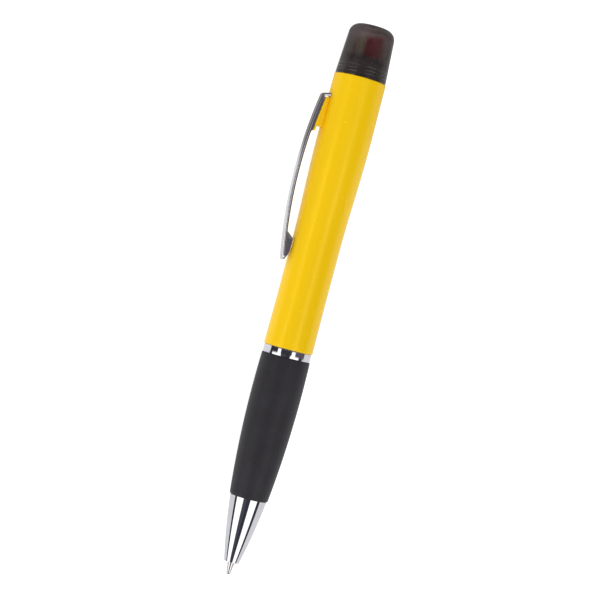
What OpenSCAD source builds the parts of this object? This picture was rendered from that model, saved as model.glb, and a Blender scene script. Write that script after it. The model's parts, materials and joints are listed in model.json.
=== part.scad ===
// Twist-action ballpoint pen with a counterfeit detector marker under a pull-off cap.
// The pen is drawn along its own axis, with z = 0 at the writing ball and the cap at the top,
// and with the pocket clip on the +x side. lay_down() then sets it on its side at rest:
// the axis lies along X with the ball towards +X, and the barrel and the clip touch Z = 0.

/* [Lengths along the axis] */
// Length of the refill point that shows when the pen is ready to write
tip_out = 3.15; // [2.95:0.05:3.35]
// Length of the chrome nose cone
cone_len = 16.45; // [16.2:0.05:16.8]
// Length of the rubber grip
grip_len = 36; // [34:0.5:38]
// Width of the chrome centre band
band_w = 2; // [1.6:0.1:2.4]
// Length of the upper barrel
barrel_len = 69; // [68:0.5:72]
// Length of the cap that shows above the barrel
cap_len = 13.4; // [13.2:0.1:14.2]

/* [Outside radii] */
// Nose cone at its mouth
cone_mouth_r = 1.86; // [1.8:0.02:2]
// Nose cone where it meets the grip
cone_base_r = 4.62; // [4.55:0.01:4.7]
// Grip at its fullest
grip_full_r = 6.25; // [6.1:0.05:6.4]
// Centre band
band_r = 6.0; // [5.8:0.05:6.05]
// Upper barrel beside the centre band
barrel_foot_r = 6.2; // [6.15:0.01:6.3]
// Upper barrel at its waist
barrel_waist_r = 6.11; // [6.05:0.01:6.2]
// Upper barrel at its fullest
barrel_full_r = 6.7; // [6.6:0.05:6.8]
// Upper barrel beside the cap
barrel_rim_r = 6.57; // [6.45:0.01:6.6]
// Cap at its mouth
cap_mouth_r = 6.42; // [6.35:0.01:6.45]
// Cap below its rounded top
cap_top_r = 5.78; // [5.7:0.02:5.9]

/* [Pocket clip] */
// Width of the arm at its inner face
clip_w = 2; // [1.9:0.05:2.2]
// Thickness of the arm
clip_t = 0.8; // [0.7:0.05:0.85]
// Radius from the pen's axis to the outside of the bowed arm at its fullest
clip_full_r = 10.36; // [10.2:0.02:10.6]
// Radius of the arm's bow, seen from the side
clip_bow = 115; // [110:1:130]

/* [Writing mechanism] */
// How far the refill moves between out and in
refill_travel = 6; // [5:0.5:6]
// Turn of the barrel that moves the refill from out to in, in degrees
twist = 180; // [160:10:180]
// Radius of the writing ball
ball_r = 0.5; // [0.35:0.05:0.5]

/* [Hidden] */
$fn = 96;

// Heights of the joints between the outside parts
z_mouth = tip_out;
z_grip = z_mouth + cone_len;
z_band = z_grip + grip_len;
z_barrel = z_band + band_w;
z_cap = z_barrel + barrel_len;
z_top = z_cap + cap_len;

// Gaps: between parts that turn or slide on each other, parts pushed together, faces that meet,
// and the refill point and the mouth that it comes out of
run_gap = 0.05;
push_gap = 0.02;
face_gap = 0.05;
mouth_gap = 0.1;

// Outline of the nose cone: its side slope at the grip, the radius of its bow, and the points along it
cone_slope = 0.11;
cone_steps = 12;
edge = 0.15;

// Outline of the grip
grip_peak_z = z_band - 8.6;
grip_bow = 266;
grip_steps = 14;
grip_round = 0.35;

// Outline of the upper barrel: where its waist begins and ends, and where it is fullest
waist_low_z = z_barrel + 12;
waist_high_z = z_cap - 42.6;
full_z = z_cap - 16.6;
barrel_steps = 30;

// Bores of the upper barrel and of the front section
barrel_bore_r = 4.95;
carrier_r = 4.1;
carrier_bore_r = 2.9;
carrier_bore_z = z_grip + 6;
carrier_head_r = 4.6;
carrier_head_z = z_band - 5;
carrier_collar_r = 5;
spigot_r = 3.3;
spigot_len = 5.6;
socket_len = 5.9;
spigot_bore_r = 2.5;

// Clip arm: its lowest point, where its bow is fullest, and its section, whose sides lean inwards
clip_low_z = z_cap - 48;
clip_full_z = z_cap - 24.8;
clip_edge_r = 0.35;
clip_lean = 5;
clip_steps = 16;

// Clip hook: the arm bends over, rises to the barrel and enters it as a tab with a barb
hook_centre_z = z_cap - 6.6;
hook_bend = clip_t + 0.15;
hook_turn = 75;
hook_gap = 0.12;
bend_steps = 4;
tab_w = 1.5;
tab_gap = 0.14;
tab_r = 7;
tab_inset = 0.08;
barb_r = [4.8, 4.5];
barb_h = 0.4;

// Clip flanges: they make the arm's upper end a channel that sits over the seat
flange_t = 0.35;
flange_depth = 1.15;
flange_inset = 0.03;
flange_high_z = hook_centre_z + 0.6;
flange_steps = 6;

// Clip nose: a prow that curls in from the free end to where it bears on the barrel
nose_z = clip_low_z + 5.4;
nose_w = clip_w - 0.06;
nose_gap = 0.06;
nose_lift = 0.14;
nose_rise = 1.8;
nose_steps = 6;

// Seat that the barrel raises under the clip
seat_low_z = z_cap - 15.4;
seat_high_z = hook_centre_z;
seat_t = 0.45;
seat_gap = 0.05;
seat_overhang = 1.3;
seat_head_w = 2.4;
seat_web_w = 1.1;
seat_steps = 6;
seat_root = 0.5;

// Cap
cap_corner_r = 2.6;
cap_wall = 1.15;
cap_roof = 1.1;
cap_bore_r = 4.95;
cap_bore_len = 4.6;
cap_steps = 8;

// Marker: nib holder, felt nib and ink cartridge
holder_seat_len = 3.8;
holder_plug_len = 2.5;
neck_r = 4.6;
neck_len = 4.5;
snap_low = 1.75;
snap_r = 4.9;
snap_w = 0.35;
snap_pitch = 0.95;
snap_count = 3;
collar_r = 4.0;
collar_len = 0.9;
holder_tail_z = z_cap - 8;
nib_foot_z = z_cap + 1.6;
nib_w = 6.2;
nib_t = 4.2;
nib_turn = 22;
nib_top_z = z_top - 1.6;
nib_slant = 2.0;
nib_stem_r = 1.6;
nib_stem_z = z_cap - 13;
nib_corner = 0.5;
cartridge_r = 4.3;
cartridge_wall = 0.45;
cartridge_low_z = z_barrel + 33.4;
plug_flange_t = 1.5;
plug_len = 3.2;

// Twist mechanism
cam_low_z = z_barrel + 2.4;
cam_high_z = z_barrel + 23.9;
cam_wall = 0.96;
guide_low_z = z_band - 3.6;
guide_high_z = cam_high_z + 2;
guide_r = 3.88;
guide_wall = 0.98;
end_cap_r = barrel_bore_r - 0.3;
end_cap_t = 1.0;
lug_r = 0.7;
lug_z = z_barrel + 11.4;
lug_reach = barrel_bore_r - 0.2;
cam_slot_r = 0.9;
cam_cuts = 15;

// Refill
tube_r = 1.6;
tube_bore_r = 1.1;
tube_low_z = 9.5;
ear_z = 15.5;
ear_len = 1.5;
ear_r = 2.3;
ear_t = 0.8;
point_r = 1.15;
point_tip_r = 0.5;
point_taper = 0.13;
point_seat_z = 0.35;
duct_r = 0.3;
shank_len = 4.5;
ink_low_z = tube_low_z + shank_len;
ink_len = 42;
ink_follower_len = 3;
pusher_low_z = lug_z - 4;
pusher_len = 8;
tail_z = lug_z - 1;

// Return spring, as it is with the refill out
spring_low_z = z_mouth + 5.25;
spring_well_r = 2.35;
spring_r = 1.95;
spring_wire_r = 0.17;
spring_turns = 8;
spring_ring_steps = 12;
spring_sides = 6;

function smooth(t) = t <= 0 ? 0 : t >= 1 ? 1 : t * t * (3 - 2 * t);
function mix(a, b, t) = a + (b - a) * t;
function cone_bow() = pow(cone_len, 2) / 2 / (cone_base_r - cone_mouth_r - cone_slope * cone_len);
function cone_r(z) = cone_base_r - cone_slope * (z_grip - z) - pow(z_grip - z, 2) / 2 / cone_bow();
function grip_r(z) = grip_full_r - pow(z - grip_peak_z, 2) / 2 / grip_bow;
function barrel_r(z) =
    mix(barrel_foot_r, barrel_waist_r, smooth((z - z_barrel) / (waist_low_z - z_barrel)))
    + (barrel_full_r - barrel_waist_r) * smooth((z - waist_high_z) / (full_z - waist_high_z))
    - (barrel_full_r - barrel_rim_r) * smooth((z - full_z) / (z_cap - full_z));
function clip_r(z) = clip_full_r - pow(z - clip_full_z, 2) / 2 / clip_bow;
function clip_slope(z) = atan((z - clip_full_z) / clip_bow);

// Half of the arm's width at a depth below its outer face, and at that flat face
function clip_half(depth, lean = clip_lean) = clip_w / 2 + (clip_t - depth) * tan(lean);
function face_half(lean = clip_lean) =
    clip_half(clip_edge_r * (1 + sin(lean)), lean) - clip_edge_r * cos(lean);

// Centre of the hook's bend, and where its outer face meets the barrel
hook_centre_r = clip_r(hook_centre_z) - hook_bend * cos(clip_slope(hook_centre_z));
hook_end_r = barrel_r(hook_centre_z) + hook_gap;
hook_top_z = hook_centre_z + hook_bend * sin(hook_turn)
    + (hook_centre_r + hook_bend * cos(hook_turn) - hook_end_r) / tan(hook_turn);

// Pose at rest: the tilt of the clip below level, and the height and side offset of the axis
edge_at = [clip_full_r - clip_edge_r, face_half()];
clip_tilt = asin((barrel_full_r - clip_edge_r) / norm(edge_at)) - atan(edge_at[1] / edge_at[0]);
clip_side = edge_at[0] * cos(clip_tilt) + edge_at[1] * sin(clip_tilt) + clip_edge_r;
axis_y = (clip_side - barrel_full_r) / 2;

module lay_down()
    translate([z_top / 2, axis_y, barrel_full_r])
        rotate([0, -90, 0])
            rotate([0, 0, -90 - clip_tilt])
                children();

module turned(outline) rotate_extrude() polygon(outline);

module rod(r, low, high) translate([0, 0, low]) cylinder(r = r, h = high - low);

module tube(r, bore, low, high)
    difference() {
        rod(r, low, high);
        rod(bore, low - 1, high + 1);
    }

// A closed solid through rings of equally many points
module lofted(rings) {
    count = len(rings[0]);
    last = len(rings) - 1;
    wall = [for (i = [0 : last - 1], k = [0 : count - 1]) let (n = (k + 1) % count, j = i * count)
        [j + k, j + n, j + count + n, j + count + k]];
    ends = [[for (k = [count - 1 : -1 : 0]) k],
            [for (k = [0 : count - 1]) last * count + k]];
    polyhedron([for (ring = rings) each ring], concat(wall, ends));
}

// A flat shape in the plane of the axis and the clip, drawn as [radius, height] points
module side_plate(outline, width, y = 0)
    translate([0, y + width / 2, 0]) rotate([90, 0, 0]) linear_extrude(width) polygon(outline);

// --- Upper section ---

module barrel_shell() {
    low = z_barrel + face_gap;
    outside = [for (i = [0 : barrel_steps])
        let (z = mix(low + edge, z_cap - edge, i / barrel_steps)) [barrel_r(z), z]];
    turned(concat(
        [[barrel_bore_r, low], [barrel_r(low) - edge, low]],
        outside,
        [[barrel_rim_r - edge, z_cap], [barrel_bore_r, z_cap]]));
}

// Raised seat under the clip: a head that follows the arm, on a narrower web, open below its low end
module clip_seat() {
    function head_top(z) = clip_r(z) - flange_depth - seat_gap;
    heights = [for (i = [0 : seat_steps]) mix(seat_low_z, seat_high_z, i / seat_steps)];
    top = [for (z = heights) [head_top(z), z]];
    bottom = [for (i = [seat_steps : -1 : 0]) [head_top(heights[i]) - seat_t, heights[i]]];
    web_low = seat_low_z + seat_overhang;
    side_plate(concat(top, bottom), seat_head_w);
    side_plate([[barrel_bore_r + seat_root, web_low],
                [head_top(web_low) - seat_t / 2, web_low],
                [head_top(seat_high_z) - seat_t / 2, seat_high_z],
                [barrel_bore_r + seat_root, seat_high_z]], seat_web_w);
}

module clip_slot()
    translate([barrel_bore_r - 1, -tab_w / 2 - tab_gap, hook_top_z - clip_t - tab_gap])
        cube([3, tab_w + 2 * tab_gap, clip_t + 2 * tab_gap]);

module upper_barrel()
    color("gold")
        difference() {
            union() {
                barrel_shell();
                clip_seat();
            }
            clip_slot();
        }

// Section of the arm as [side, height] points: leaning sides, two round edges and a flat outer face
function clip_section(lean) =
    let (edge = [for (i = [0 : 2]) let (a = (90 + lean) * i / 2)
            [face_half(lean) + clip_edge_r * sin(a), clip_edge_r * (cos(a) - 1)]],
        half = concat(edge, [[clip_half(clip_t, lean), -clip_t]]))
    concat([for (p = half) [-p[0], p[1]]], [for (i = [3 : -1 : 0]) half[i]]);

// The section set at a height and radius, with its outer face turned towards the cap
function clip_ring(z, r, turn, lean = clip_lean) =
    [for (p = clip_section(lean)) [r + p[1] * cos(turn), p[0], z + p[1] * sin(turn)]];

module clip_arm() {
    slope = clip_slope(hook_centre_z);
    bend_z = hook_centre_z + hook_bend * sin(slope);
    bow = [for (i = [0 : clip_steps]) let (z = mix(clip_low_z, bend_z, i / clip_steps))
        clip_ring(z, clip_r(z), clip_slope(z))];
    bend = [for (i = [1 : bend_steps]) let (turn = mix(slope, hook_turn, i / bend_steps))
        clip_ring(hook_centre_z + hook_bend * sin(turn), hook_centre_r + hook_bend * cos(turn), turn,
                  mix(clip_lean, 0, i / bend_steps))];
    end = [for (p = clip_section(0)) [hook_end_r, p[0], hook_top_z + p[1] / sin(hook_turn)]];
    lofted(concat(bow, bend, [end]));
}

module clip_flange(side) {
    top = clip_t / 2;
    inner = flange_inset + flange_t;
    corners = [[top, inner], [flange_depth, inner], [flange_depth, flange_inset], [top, flange_inset]];
    heights = [for (i = [0 : flange_steps]) mix(seat_low_z, flange_high_z, i / flange_steps)];
    mirror([0, side, 0])
        lofted([for (z = heights) [for (c = corners) [clip_r(z) - c[0], clip_half(c[0]) - c[1], z]]]);
}

// Prow under the arm's free end, which presses on the barrel
module clip_nose() {
    touch = barrel_waist_r + nose_gap;
    tip = clip_r(clip_low_z) - clip_t / 2 - nose_gap;
    curl = [for (i = [nose_steps : -1 : 0]) let (share = i / nose_steps)
        [mix(nose_z, clip_low_z + nose_gap, share), mix(touch, tip, pow(share, 3))]];
    rise_z = nose_z + nose_rise;
    rise = [[nose_z + nose_lift, touch + nose_lift], [rise_z, clip_r(rise_z) - clip_t + nose_gap]];
    lofted([for (p = concat(curl, rise)) let (top = clip_r(p[0]) - clip_t / 2, wide = nose_w / 2,
            foot = wide - (clip_r(p[0]) - clip_t - p[1]) * tan(clip_lean))
        [[top, -wide, p[0]], [p[1], -foot, p[0]], [p[1], foot, p[0]], [top, wide, p[0]]]]);
}

// Tab that goes through the barrel's wall, with a barb behind it
module clip_tab() {
    low = hook_top_z - clip_t + tab_inset;
    high = hook_top_z - tab_inset;
    side_plate([[tab_r, low], [tab_r, high], [barb_r[0], high], [barb_r[0], high + barb_h],
                [barb_r[1], high + barb_h / 2], [barb_r[1], low]], tab_w);
}

module pocket_clip()
    color("silver") {
        clip_arm();
        for (side = [0, 1]) clip_flange(side);
        clip_nose();
        clip_tab();
    }

module cap() {
    low = z_cap + face_gap;
    straight_z = z_top - cap_corner_r;
    centre_r = cap_top_r - cap_corner_r;
    inner_top = z_top - cap_roof;
    inner_corner = cap_corner_r - cap_wall;
    bore_z = z_cap + cap_bore_len;
    corner = [for (i = [0 : cap_steps]) let (a = 90 * i / cap_steps)
        [centre_r + cap_corner_r * cos(a), straight_z + cap_corner_r * sin(a)]];
    roof = [for (i = [cap_steps : -1 : 0]) let (a = 90 * i / cap_steps)
        [centre_r + inner_corner * cos(a), inner_top - inner_corner + inner_corner * sin(a)]];
    color([0.2, 0.18, 0.18, 0.75])
        turned(concat(
            [[cap_bore_r, low], [cap_mouth_r - edge / 2, low], [cap_mouth_r, low + edge]],
            corner,
            [[0, z_top], [0, inner_top]],
            roof,
            [[cap_bore_r - 0.3, bore_z], [cap_bore_r, bore_z - 0.3]]));
}

// --- Detector marker ---

module nib_outline(grow = 0)
    rotate(nib_turn) {
        w = nib_w / 2 + grow;
        t = nib_t / 2 + grow;
        polygon([[w, -t + nib_corner], [w, t - nib_corner], [w - nib_corner, t], [nib_corner - w, t],
                 [-w, t - nib_corner], [-w, nib_corner - t], [nib_corner - w, -t], [w - nib_corner, -t]]);
    }

module nib_holder() {
    neck_z = z_cap + neck_len;
    plug_r = cartridge_r - cartridge_wall - push_gap;
    snap_z = [for (i = [0 : snap_count - 1]) z_cap + snap_low + i * snap_pitch];
    color("dimgray")
        difference() {
            union() {
                rod(barrel_bore_r - push_gap, z_cap - holder_seat_len, z_cap);
                rod(plug_r, holder_tail_z - holder_plug_len, z_cap);
                rod(cartridge_r, holder_tail_z + face_gap, z_cap);
                rod(neck_r, z_cap - 0.5, neck_z);
                rod(collar_r, neck_z - 0.5, neck_z + collar_len);
                for (z = snap_z) rod(snap_r, z, z + snap_w);
            }
            translate([0, 0, nib_foot_z - face_gap]) linear_extrude(20) nib_outline(push_gap);
            rod(nib_stem_r + push_gap, nib_stem_z - 1, z_top);
        }
}

module detector_nib()
    color("firebrick")
        difference() {
            union() {
                translate([0, 0, nib_foot_z]) linear_extrude(nib_top_z - nib_foot_z) nib_outline();
                rod(nib_stem_r, nib_stem_z, nib_foot_z + 0.5);
            }
            // slanted writing edge, cut along the nib's width
            rotate([0, 0, nib_turn])
                translate([-nib_w / 2, 0, nib_top_z])
                    rotate([0, atan(nib_slant / nib_w), 0])
                        translate([-5, -10, 0]) cube([20, 20, 10]);
        }

module marker_cartridge()
    color([0.93, 0.93, 0.9])
        tube(cartridge_r, cartridge_r - cartridge_wall, cartridge_low_z, holder_tail_z);

module cartridge_plug() {
    top = cartridge_low_z - face_gap;
    color("white") {
        rod(barrel_bore_r - push_gap, top - plug_flange_t, top);
        rod(cartridge_r - cartridge_wall - push_gap, top - plug_flange_t / 2, cartridge_low_z + plug_len);
    }
}

module ink_reservoir() {
    low = cartridge_low_z + plug_len + face_gap;
    high = holder_tail_z - holder_plug_len - face_gap;
    color("sandybrown")
        difference() {
            rod(cartridge_r - cartridge_wall - push_gap, low, high);
            rod(nib_stem_r + push_gap, nib_stem_z - face_gap, high + 1);
        }
}

// --- Twist mechanism ---

// Two opposed helical slots, each a row of round cuts that the pusher's lugs follow
module cam_sleeve()
    color("ivory")
        difference() {
            tube(barrel_bore_r - push_gap, barrel_bore_r - cam_wall, cam_low_z, cam_high_z);
            for (side = [0, 180], i = [0 : cam_cuts])
                rotate([0, 0, side + twist * i / cam_cuts])
                    translate([barrel_bore_r - cam_wall - 0.6, 0, lug_z + refill_travel * i / cam_cuts])
                        rotate([0, 90, 0]) cylinder(r = cam_slot_r, h = 2.2);
        }

// Straight slots keep the pusher from turning in the front section
module guide_slot() {
    half = lug_r + run_gap;
    low = lug_z - run_gap;
    high = lug_z + refill_travel + run_gap;
    for (z = [low, high])
        translate([0, 0, z]) rotate([0, 90, 0]) cylinder(r = half, h = 3 * guide_r, center = true);
    translate([-1.5 * guide_r, -half, low]) cube([3 * guide_r, 2 * half, high - low]);
}

module guide_sleeve()
    color("gainsboro")
        difference() {
            tube(guide_r, guide_r - guide_wall, guide_low_z + face_gap, guide_high_z);
            guide_slot();
        }

// Cap pressed on the guide's end, which keeps the barrel on the front section
module mechanism_cap() {
    low = cam_high_z + face_gap;
    roof_z = guide_high_z + face_gap;
    color("darkgray")
        difference() {
            rod(end_cap_r, low, roof_z + end_cap_t);
            rod(guide_r + push_gap, low - 1, roof_z);
        }
}

module refill_pusher()
    color("lightgray")
        difference() {
            union() {
                rod(guide_r - guide_wall - run_gap, pusher_low_z, pusher_low_z + pusher_len);
                translate([0, 0, lug_z])
                    rotate([0, 90, 0])
                        cylinder(r = lug_r, h = 2 * lug_reach, center = true);
            }
            rod(tube_r + push_gap, pusher_low_z - 1, tail_z + face_gap);
        }

// --- Front section ---

module centre_band() {
    bore = carrier_collar_r + push_gap;
    color("silver")
        turned([[bore, z_band], [band_r - edge, z_band], [band_r, z_band + edge],
                [band_r, z_barrel - edge], [band_r - edge, z_barrel], [bore, z_barrel]]);
}

module grip_sleeve() {
    low = z_grip + face_gap;
    high = z_band - face_gap;
    bore = carrier_r + push_gap;
    head_bore = carrier_head_r + push_gap;
    head_z = carrier_head_z - face_gap;
    corner = grip_round * 0.3;
    outside = [for (i = [0 : grip_steps])
        let (z = mix(low + grip_round, high - grip_round, i / grip_steps)) [grip_r(z), z]];
    color([0.16, 0.155, 0.165])
        turned(concat(
            [[bore, low], [grip_r(low) - grip_round, low], [grip_r(low) - corner, low + corner]],
            outside,
            [[grip_r(high) - corner, high - corner], [grip_r(high) - grip_round, high],
             [head_bore, high], [head_bore, head_z], [bore, head_z]]));
}

module grip_carrier()
    color("dimgray")
        difference() {
            union() {
                rod(spigot_r, z_grip - spigot_len, z_grip + 1);
                rod(carrier_r, z_grip + face_gap, z_barrel);
                rod(carrier_head_r, carrier_head_z, z_barrel);
                rod(carrier_collar_r, z_band, z_barrel);
                rod(barrel_bore_r - run_gap, z_barrel, cam_low_z - face_gap);
            }
            rod(spigot_bore_r, 0, z_cap);
            rod(carrier_bore_r, carrier_bore_z, z_cap);
            rod(guide_r + push_gap, guide_low_z, z_cap);
        }

module nose_cone() {
    outside = [for (i = [0 : cone_steps])
        let (z = mix(z_mouth + edge, z_grip, i / cone_steps)) [cone_r(z), z]];
    color("silver")
        difference() {
            turned(concat([[0, z_mouth], [cone_r(z_mouth) - edge, z_mouth]], outside, [[0, z_grip]]));
            rod(point_r + mouth_gap, 0, z_grip + 1);
            rod(spring_well_r, spring_low_z, z_grip + 1);
            rod(spigot_r + push_gap, z_grip - socket_len, z_grip + 1);
        }
}

// --- Refill and its spring ---

// Round section of the spring's wire, a share t of the way up its helix
function spring_ring(t, length) =
    let (a = 360 * spring_turns * t, z = mix(spring_wire_r, length - spring_wire_r, t))
    [for (k = [0 : spring_sides - 1])
        let (b = 360 * k / spring_sides, r = spring_r + spring_wire_r * cos(b))
        [r * cos(a), r * sin(a), z + spring_wire_r * sin(b)]];

module refill_spring() {
    length = ear_z - spring_low_z - 2 * face_gap;
    rings = spring_turns * spring_ring_steps;
    color("lightsteelblue")
        translate([0, 0, spring_low_z + face_gap])
            lofted([for (i = [0 : rings]) spring_ring(i / rings, length)]);
}

module refill_tube()
    color([0.9, 0.9, 0.93])
        difference() {
            union() {
                rod(tube_r, tube_low_z, tail_z);
                translate([-ear_r, -ear_t / 2, ear_z]) cube([2 * ear_r, ear_t, ear_len]);
            }
            rod(tube_bore_r, 0, z_cap);
        }

module refill_point() {
    full_z = (point_r - point_tip_r) / point_taper;
    lip_r = point_tip_r + point_taper * point_seat_z;
    shoulder_z = tube_low_z - face_gap;
    shank_r = tube_bore_r - push_gap;
    top_z = tube_low_z + shank_len;
    color("goldenrod")
        difference() {
            turned([[0, point_seat_z], [lip_r, point_seat_z], [point_r, full_z], [point_r, shoulder_z],
                    [shank_r, shoulder_z], [shank_r, top_z], [0, top_z]]);
            translate([0, 0, ball_r]) sphere(r = ball_r + push_gap);
            rod(duct_r, ball_r, top_z + 1);
        }
}

module writing_ball() color("dimgray") translate([0, 0, ball_r]) sphere(r = ball_r);

module writing_ink()
    color("black")
        rod(tube_bore_r - push_gap, ink_low_z + face_gap, ink_low_z + ink_len);

module ink_follower()
    color("wheat")
        rod(tube_bore_r - push_gap, ink_low_z + ink_len + face_gap, ink_low_z + ink_len + ink_follower_len);

lay_down() upper_barrel();
lay_down() pocket_clip();
lay_down() cap();
lay_down() nib_holder();
lay_down() detector_nib();
lay_down() marker_cartridge();
lay_down() ink_reservoir();
lay_down() cartridge_plug();
lay_down() cam_sleeve();
lay_down() centre_band();
lay_down() grip_sleeve();
lay_down() grip_carrier();
lay_down() nose_cone();
lay_down() guide_sleeve();
lay_down() mechanism_cap();
lay_down() refill_spring();
lay_down() refill_pusher();
lay_down() refill_tube();
lay_down() refill_point();
lay_down() writing_ball();
lay_down() writing_ink();
lay_down() ink_follower();
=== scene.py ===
import json
import math

import bmesh
import bpy
from mathutils import Matrix, Vector, noise


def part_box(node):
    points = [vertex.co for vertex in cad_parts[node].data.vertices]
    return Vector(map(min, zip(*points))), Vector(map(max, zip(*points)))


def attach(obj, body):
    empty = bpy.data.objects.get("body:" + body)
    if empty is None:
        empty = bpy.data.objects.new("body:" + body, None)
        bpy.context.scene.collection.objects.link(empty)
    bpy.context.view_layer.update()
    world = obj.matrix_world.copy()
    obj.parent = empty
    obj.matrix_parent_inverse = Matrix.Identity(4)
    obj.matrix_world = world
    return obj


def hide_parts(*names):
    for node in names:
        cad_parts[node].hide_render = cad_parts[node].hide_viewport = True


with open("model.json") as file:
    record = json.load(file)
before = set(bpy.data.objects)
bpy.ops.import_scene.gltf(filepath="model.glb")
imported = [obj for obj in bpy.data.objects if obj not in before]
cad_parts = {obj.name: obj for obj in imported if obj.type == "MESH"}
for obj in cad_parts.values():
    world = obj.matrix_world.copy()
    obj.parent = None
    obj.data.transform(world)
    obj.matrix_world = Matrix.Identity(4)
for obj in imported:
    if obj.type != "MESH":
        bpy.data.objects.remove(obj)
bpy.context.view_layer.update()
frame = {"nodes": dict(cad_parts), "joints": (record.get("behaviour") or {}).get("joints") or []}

# ---------------------------------------------------------------------------
# The pen's own frame. Heights run along its axis from the writing ball, in mm;
# "out" points from the axis to the clip, and "side" is square to both.
# ---------------------------------------------------------------------------

MM = 0.001
JOINTS = {j["name"]: j for j in frame["joints"]}
FLEX_AXIS = Vector(JOINTS["clip_flex"]["axis"]).normalized()
AXIS = Vector(JOINTS["twist"]["pos_m"])
OUT = Vector((0, FLEX_AXIS.z, -FLEX_AXIS.y))
SIDE = -FLEX_AXIS
TIP_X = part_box("writing_ball")[1].x


def at(out, side, z):
    """World position of a point given in the pen's own frame."""
    return Vector((TIP_X - z * MM, AXIS.y, AXIS.z)) + OUT * (out * MM) + SIDE * (side * MM)


def span(node):
    """Lowest and highest height of a CAD node."""
    low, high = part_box(node)
    return (TIP_X - high.x) / MM, (TIP_X - low.x) / MM


Z_MOUTH = span("nose_cone")[0]
Z_GRIP = span("nose_cone")[1]
Z_BAND, Z_BARREL = span("centre_band")
Z_CAP = span("upper_barrel")[1]
Z_TOP = span("cap")[1]


def smooth(t):
    """Eases from 0 to 1 as t goes from 0 to 1, and stays there beyond."""
    t = min(max(t, 0.0), 1.0)
    return t * t * (3 - 2 * t)


def mix(a, b, t):
    return a + (b - a) * t


# Outline of each long outside part, as radius against height. A bow is the radius of its curve.
CONE_MOUTH_R, CONE_BASE_R, CONE_SLOPE = 1.86, 4.62, 0.11
CONE_LEN = Z_GRIP - Z_MOUTH
CONE_BOW = CONE_LEN ** 2 / 2 / (CONE_BASE_R - CONE_MOUTH_R - CONE_SLOPE * CONE_LEN)
GRIP_FULL_R, GRIP_PEAK_Z, GRIP_BOW = 6.25, Z_BAND - 8.6, 266
FOOT_R, WAIST_R, FULL_R, RIM_R = 6.2, 6.11, 6.7, 6.57
WAIST_LOW_Z, WAIST_HIGH_Z, FULL_Z = Z_BARREL + 12, Z_CAP - 42.6, Z_CAP - 16.6
CLIP_FULL_R, CLIP_FULL_Z, CLIP_BOW = 10.36, Z_CAP - 24.8, 115


def cone_r(z):
    return CONE_BASE_R - CONE_SLOPE * (Z_GRIP - z) - (Z_GRIP - z) ** 2 / 2 / CONE_BOW


def grip_r(z):
    return GRIP_FULL_R - (z - GRIP_PEAK_Z) ** 2 / 2 / GRIP_BOW


def barrel_r(z):
    waist = mix(FOOT_R, WAIST_R, smooth((z - Z_BARREL) / (WAIST_LOW_Z - Z_BARREL)))
    swell = (FULL_R - WAIST_R) * smooth((z - WAIST_HIGH_Z) / (FULL_Z - WAIST_HIGH_Z))
    return waist + swell - (FULL_R - RIM_R) * smooth((z - FULL_Z) / (Z_CAP - FULL_Z))


def clip_r(z):
    return CLIP_FULL_R - (z - CLIP_FULL_Z) ** 2 / 2 / CLIP_BOW


# ---------------------------------------------------------------------------
# Mesh helpers
# ---------------------------------------------------------------------------

SEGMENTS = 160           # round a full turn
SHARP = math.radians(32)
MERGE = 1e-8             # points this close become one, in metres
ON_AXIS = 1e-6           # a ring of a smaller radius is one point on the axis, in mm
SUPPORT = 0.03           # width of the narrow faces that keep a flat side flat beside a rounding, in mm


def mesh_object(name, verts, faces):
    mesh = bpy.data.meshes.new(name)
    mesh.from_pydata([tuple(v) for v in verts], [], faces)
    bm = bmesh.new()
    bm.from_mesh(mesh)
    bmesh.ops.remove_doubles(bm, verts=bm.verts, dist=MERGE)
    bmesh.ops.recalc_face_normals(bm, faces=bm.faces)
    bm.to_mesh(mesh)
    bm.free()
    mesh.shade_smooth()
    mesh.set_sharp_from_angle(angle=SHARP)
    obj = bpy.data.objects.new(name, mesh)
    bpy.context.scene.collection.objects.link(obj)
    return obj


def arc(z, r, radius, start, end, steps=6):
    """Points of a round corner about (z, r); 0 degrees points outwards and 90 towards the cap."""
    angles = [math.radians(mix(start, end, i / steps)) for i in range(steps + 1)]
    return [(z + radius * math.sin(a), r + radius * math.cos(a)) for a in angles]


def along(radius_at, low, high, steps):
    """Points of an outline between two heights."""
    heights = [mix(low, high, i / steps) for i in range(steps + 1)]
    return [(z, radius_at(z)) for z in heights]


def lathe_data(outline, segments=SEGMENTS):
    """Surface of revolution through a closed outline of (height, radius) points."""
    verts, faces, rings = [], [], []
    for z, r in outline:
        start = len(verts)
        if r < ON_AXIS:
            verts.append(at(0, 0, z))
            rings.append([start] * segments)
            continue
        for k in range(segments):
            a = 2 * math.pi * k / segments
            verts.append(at(r * math.cos(a), r * math.sin(a), z))
        rings.append(list(range(start, start + segments)))
    for a, b in zip(rings, rings[1:] + rings[:1]):
        if a[0] == a[1] and b[0] == b[1]:
            continue
        for k in range(segments):
            n = (k + 1) % segments
            corners = [a[k], a[n], b[n], b[k]]
            faces.append(list(dict.fromkeys(corners)))
    return verts, faces


def lathe(name, outline, segments=SEGMENTS):
    return mesh_object(name, *lathe_data(outline, segments))


def loft_data(rings):
    """Closed tube through rings of equally many points, with flat ends."""
    count = len(rings[0])
    verts = [p for ring in rings for p in ring]
    faces = []
    for i in range(len(rings) - 1):
        for k in range(count):
            n = (k + 1) % count
            faces.append([i * count + k, i * count + n, (i + 1) * count + n, (i + 1) * count + k])
    faces.append(list(range(count))[::-1])
    faces.append([(len(rings) - 1) * count + k for k in range(count)])
    return verts, faces


def join_data(*parts):
    """Several closed surfaces as one mesh's data."""
    verts, faces = [], []
    for part_verts, part_faces in parts:
        base = len(verts)
        verts += part_verts
        faces += [[base + i for i in face] for face in part_faces]
    return verts, faces


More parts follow.
